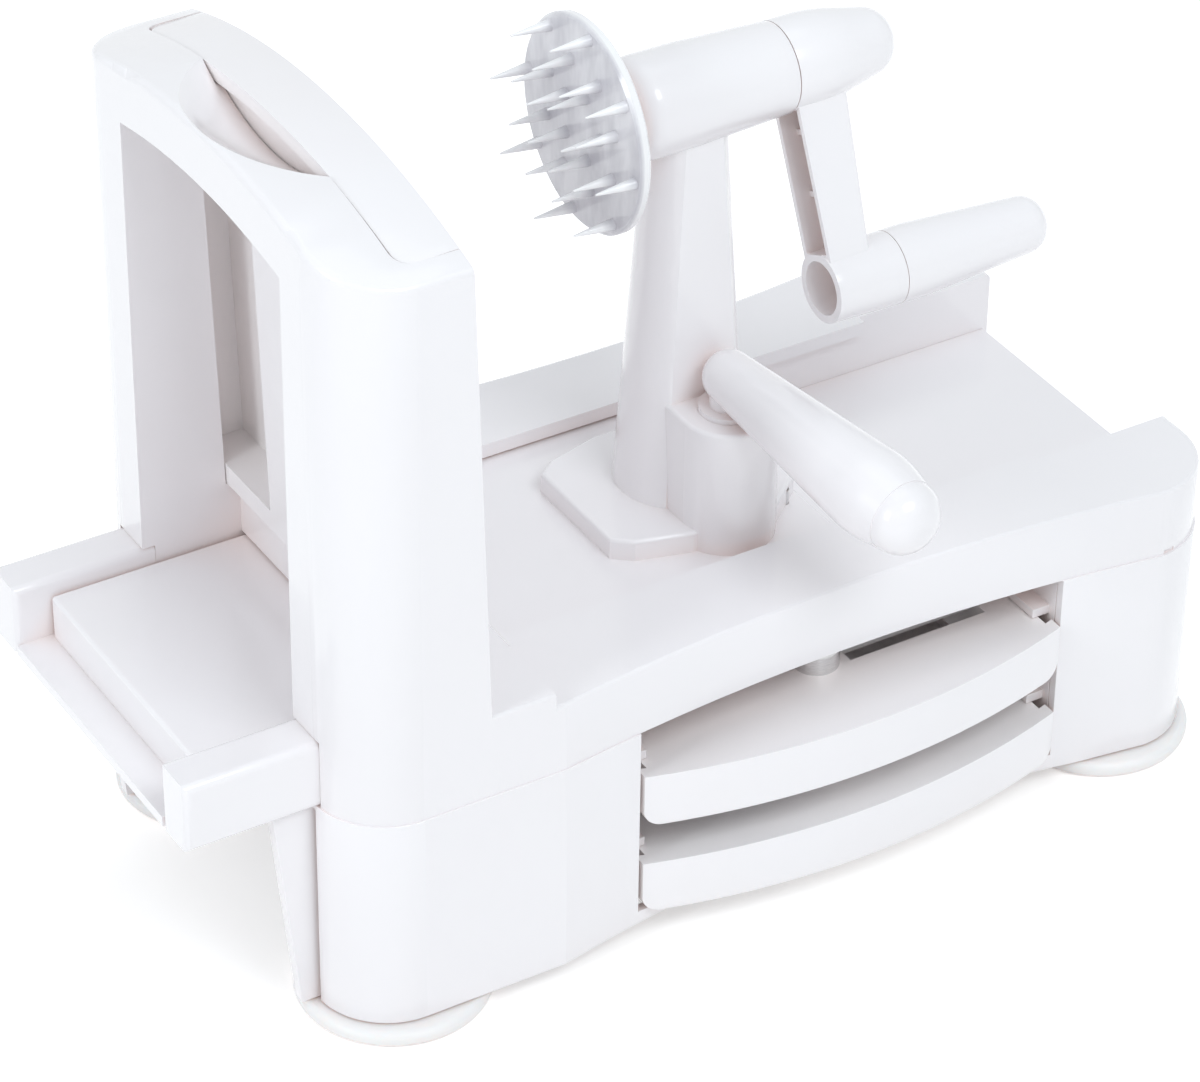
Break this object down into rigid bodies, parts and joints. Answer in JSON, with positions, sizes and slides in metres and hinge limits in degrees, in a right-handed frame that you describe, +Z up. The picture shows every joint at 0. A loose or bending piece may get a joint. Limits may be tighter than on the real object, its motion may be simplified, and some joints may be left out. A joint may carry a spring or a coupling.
{
  "type": "spiralizer",
  "caption": "Hand-cranked vegetable spiralizer: arched housing on suction feet, sliding spiked crank head, lift-out blade cassette and two stored cassettes.",
  "frame": {"origin": "middle of the whole object's box, on the surface that the feet stand on", "axes": "+X along the base towards the open end of the slide, +Y across it away from the drawers, +Z up"},
  "size_m": [0.2992, 0.1702, 0.2303],
  "materials": {
    "housing_plastic": "glossy moulded white",
    "carriage_plastic": "glossy moulded white",
    "cassette_plastic": "glossy moulded white",
    "handle_plastic": "glossy moulded white",
    "spike_plastic": "slightly translucent white",
    "suction_rubber": "milky soft vinyl",
    "bush_plastic": "plain",
    "blade_steel": "brushed",
    "spindle_steel": "turned",
    "fastener_steel": "plain"
  },
  "bodies": {
    "base": {"lower_base": "housing_plastic", "upper_housing": "housing_plastic", "slide_channel": "housing_plastic", "housing_screws": "fastener_steel", "foot_tray_far": "suction_rubber", "foot_tray_near": "suction_rubber", "foot_end_far": "suction_rubber", "foot_end_near": "suction_rubber"},
    "carriage": {"sled": "carriage_plastic", "pedestal": "carriage_plastic", "pedestal_screws": "fastener_steel", "front_bush": "bush_plastic", "rear_bush": "bush_plastic"},
    "push_handle": {"push_handle": "handle_plastic", "push_handle_cap": "handle_plastic"},
    "crank": {"spiked_disc": "spike_plastic", "spindle": "spindle_steel", "crank_arm": "carriage_plastic", "grip_axle": "spindle_steel"},
    "grip": {"crank_grip": "handle_plastic"},
    "arch_cassette": {"arch_cassette_frame": "cassette_plastic", "arch_cassette_blade": "blade_steel", "arch_cassette_ring": "blade_steel", "arch_cassette_screws": "fastener_steel"},
    "upper_drawer": {"upper_cassette_frame": "cassette_plastic", "upper_cassette_blade": "blade_steel", "upper_cassette_ring": "blade_steel", "upper_cassette_screws": "fastener_steel"},
    "lower_drawer": {"lower_cassette_frame": "cassette_plastic", "lower_cassette_blade": "blade_steel", "lower_cassette_ring": "blade_steel", "lower_cassette_screws": "fastener_steel"}
  },
  "joints": [
    {"name": "carriage_slide", "type": "slide", "parent": "base", "child": "carriage", "axis": [1, 0, 0], "range_m": [-0.042, 0.09]},
    {"name": "push_handle_swivel", "type": "hinge", "parent": "carriage", "child": "push_handle", "pos_m": [0.023, -0.01018, 0.1185], "axis": [0, 0, 1], "range_deg": [-35, 50]},
    {"name": "crank_turn", "type": "hinge", "parent": "carriage", "child": "crank", "pos_m": [0.016, 0.00982, 0.2005], "axis": [1, 0, 0], "continuous": true},
    {"name": "grip_turn", "type": "hinge", "parent": "crank", "child": "grip", "pos_m": [0.076, -0.01427, 0.14884], "axis": [1, 0, 0], "continuous": true},
    {"name": "arch_cassette_lift", "type": "slide", "parent": "base", "child": "arch_cassette", "axis": [-0.0332, 0, 0.9995], "range_m": [0, 0.135]},
    {"name": "upper_drawer_slide", "type": "slide", "parent": "base", "child": "upper_drawer", "axis": [0, -1, 0], "range_m": [0, 0.13]},
    {"name": "lower_drawer_slide", "type": "slide", "parent": "base", "child": "lower_drawer", "axis": [0, -1, 0], "range_m": [0, 0.13]}
  ]
}
